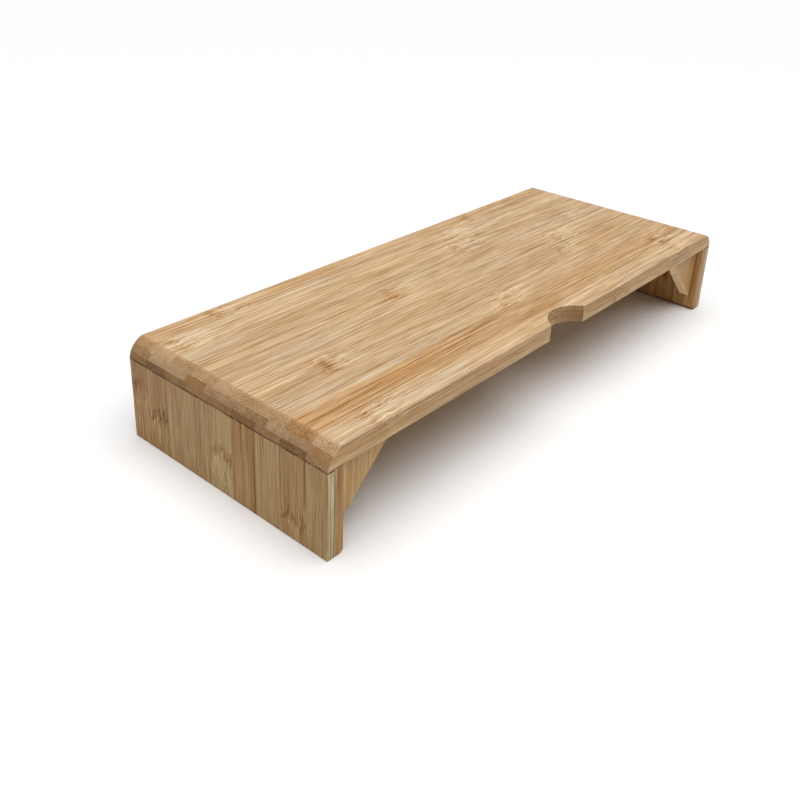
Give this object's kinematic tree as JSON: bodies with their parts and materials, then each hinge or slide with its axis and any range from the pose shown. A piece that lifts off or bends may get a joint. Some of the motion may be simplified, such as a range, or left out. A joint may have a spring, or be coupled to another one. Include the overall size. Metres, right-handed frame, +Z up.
{
  "type": "monitor riser stand",
  "caption": "Low laminated bamboo desk riser: a long board with rounded ends and a round cable notch in its front edge, on two upright end legs stiffened by triangular corner braces.",
  "frame": {"origin": "centre of the footprint, on the surface that the stand rests on", "axes": "+X along the board to the right leg, +Y from the front edge with the cable notch to the rear edge, +Z up"},
  "size_m": [0.495, 0.19, 0.075],
  "materials": {
    "bamboo_top": "light carbonised bamboo strips under satin clear lacquer",
    "bamboo_core": "bamboo core strips, sanded and lacquered where they show",
    "bamboo_underside": "bamboo strips under satin clear lacquer",
    "bamboo_leg": "bamboo strips with upright grain under satin clear lacquer",
    "bamboo_leg_lining": "bamboo strips with upright grain under satin clear lacquer",
    "bamboo_brace": "bamboo plate under satin clear lacquer",
    "dowel_wood": "bare turned hardwood"
  },
  "bodies": {
    "root": {"board_base_strip_1": "bamboo_underside", "board_base_strip_2": "bamboo_underside", "board_base_strip_3": "bamboo_underside", "board_base_strip_4": "bamboo_underside", "board_base_strip_5": "bamboo_underside", "board_base_strip_6": "bamboo_underside", "board_base_strip_7": "bamboo_underside", "board_base_strip_8": "bamboo_underside", "board_base_strip_9": "bamboo_underside", "board_core_strip_1": "bamboo_core", "board_core_strip_10": "bamboo_core", "board_core_strip_2": "bamboo_core", "board_core_strip_3": "bamboo_core", "board_core_strip_4": "bamboo_core", "board_core_strip_5": "bamboo_core", "board_core_strip_6": "bamboo_core", "board_core_strip_7": "bamboo_core", "board_core_strip_8": "bamboo_core", "board_core_strip_9": "bamboo_core", "board_face_strip_1": "bamboo_top", "board_face_strip_2": "bamboo_top", "board_face_strip_3": "bamboo_top", "board_face_strip_4": "bamboo_top", "board_face_strip_5": "bamboo_top", "board_face_strip_6": "bamboo_top", "board_face_strip_7": "bamboo_top", "board_face_strip_8": "bamboo_top", "board_face_strip_9": "bamboo_top", "front_left_brace": "bamboo_brace", "front_right_brace": "bamboo_brace", "left_brace_dowels": "dowel_wood", "left_leg_core_strips": "bamboo_core", "left_leg_dowels": "dowel_wood", "left_leg_inner_strips": "bamboo_leg_lining", "left_leg_outer_strip_1": "bamboo_leg", "left_leg_outer_strip_2": "bamboo_leg", "left_leg_outer_strip_3": "bamboo_leg", "left_leg_outer_strip_4": "bamboo_leg", "left_leg_outer_strip_5": "bamboo_leg", "left_leg_outer_strip_6": "bamboo_leg", "left_leg_outer_strip_7": "bamboo_leg", "left_leg_outer_strip_8": "bamboo_leg", "left_leg_outer_strip_9": "bamboo_leg", "rear_left_brace": "bamboo_brace", "rear_right_brace": "bamboo_brace", "right_brace_dowels": "dowel_wood", "right_leg_core_strips": "bamboo_core", "right_leg_dowels": "dowel_wood", "right_leg_inner_strips": "bamboo_leg_lining", "right_leg_outer_strip_1": "bamboo_leg", "right_leg_outer_strip_2": "bamboo_leg", "right_leg_outer_strip_3": "bamboo_leg", "right_leg_outer_strip_4": "bamboo_leg", "right_leg_outer_strip_5": "bamboo_leg", "right_leg_outer_strip_6": "bamboo_leg", "right_leg_outer_strip_7": "bamboo_leg", "right_leg_outer_strip_8": "bamboo_leg", "right_leg_outer_strip_9": "bamboo_leg"}
  },
  "joints": []
}
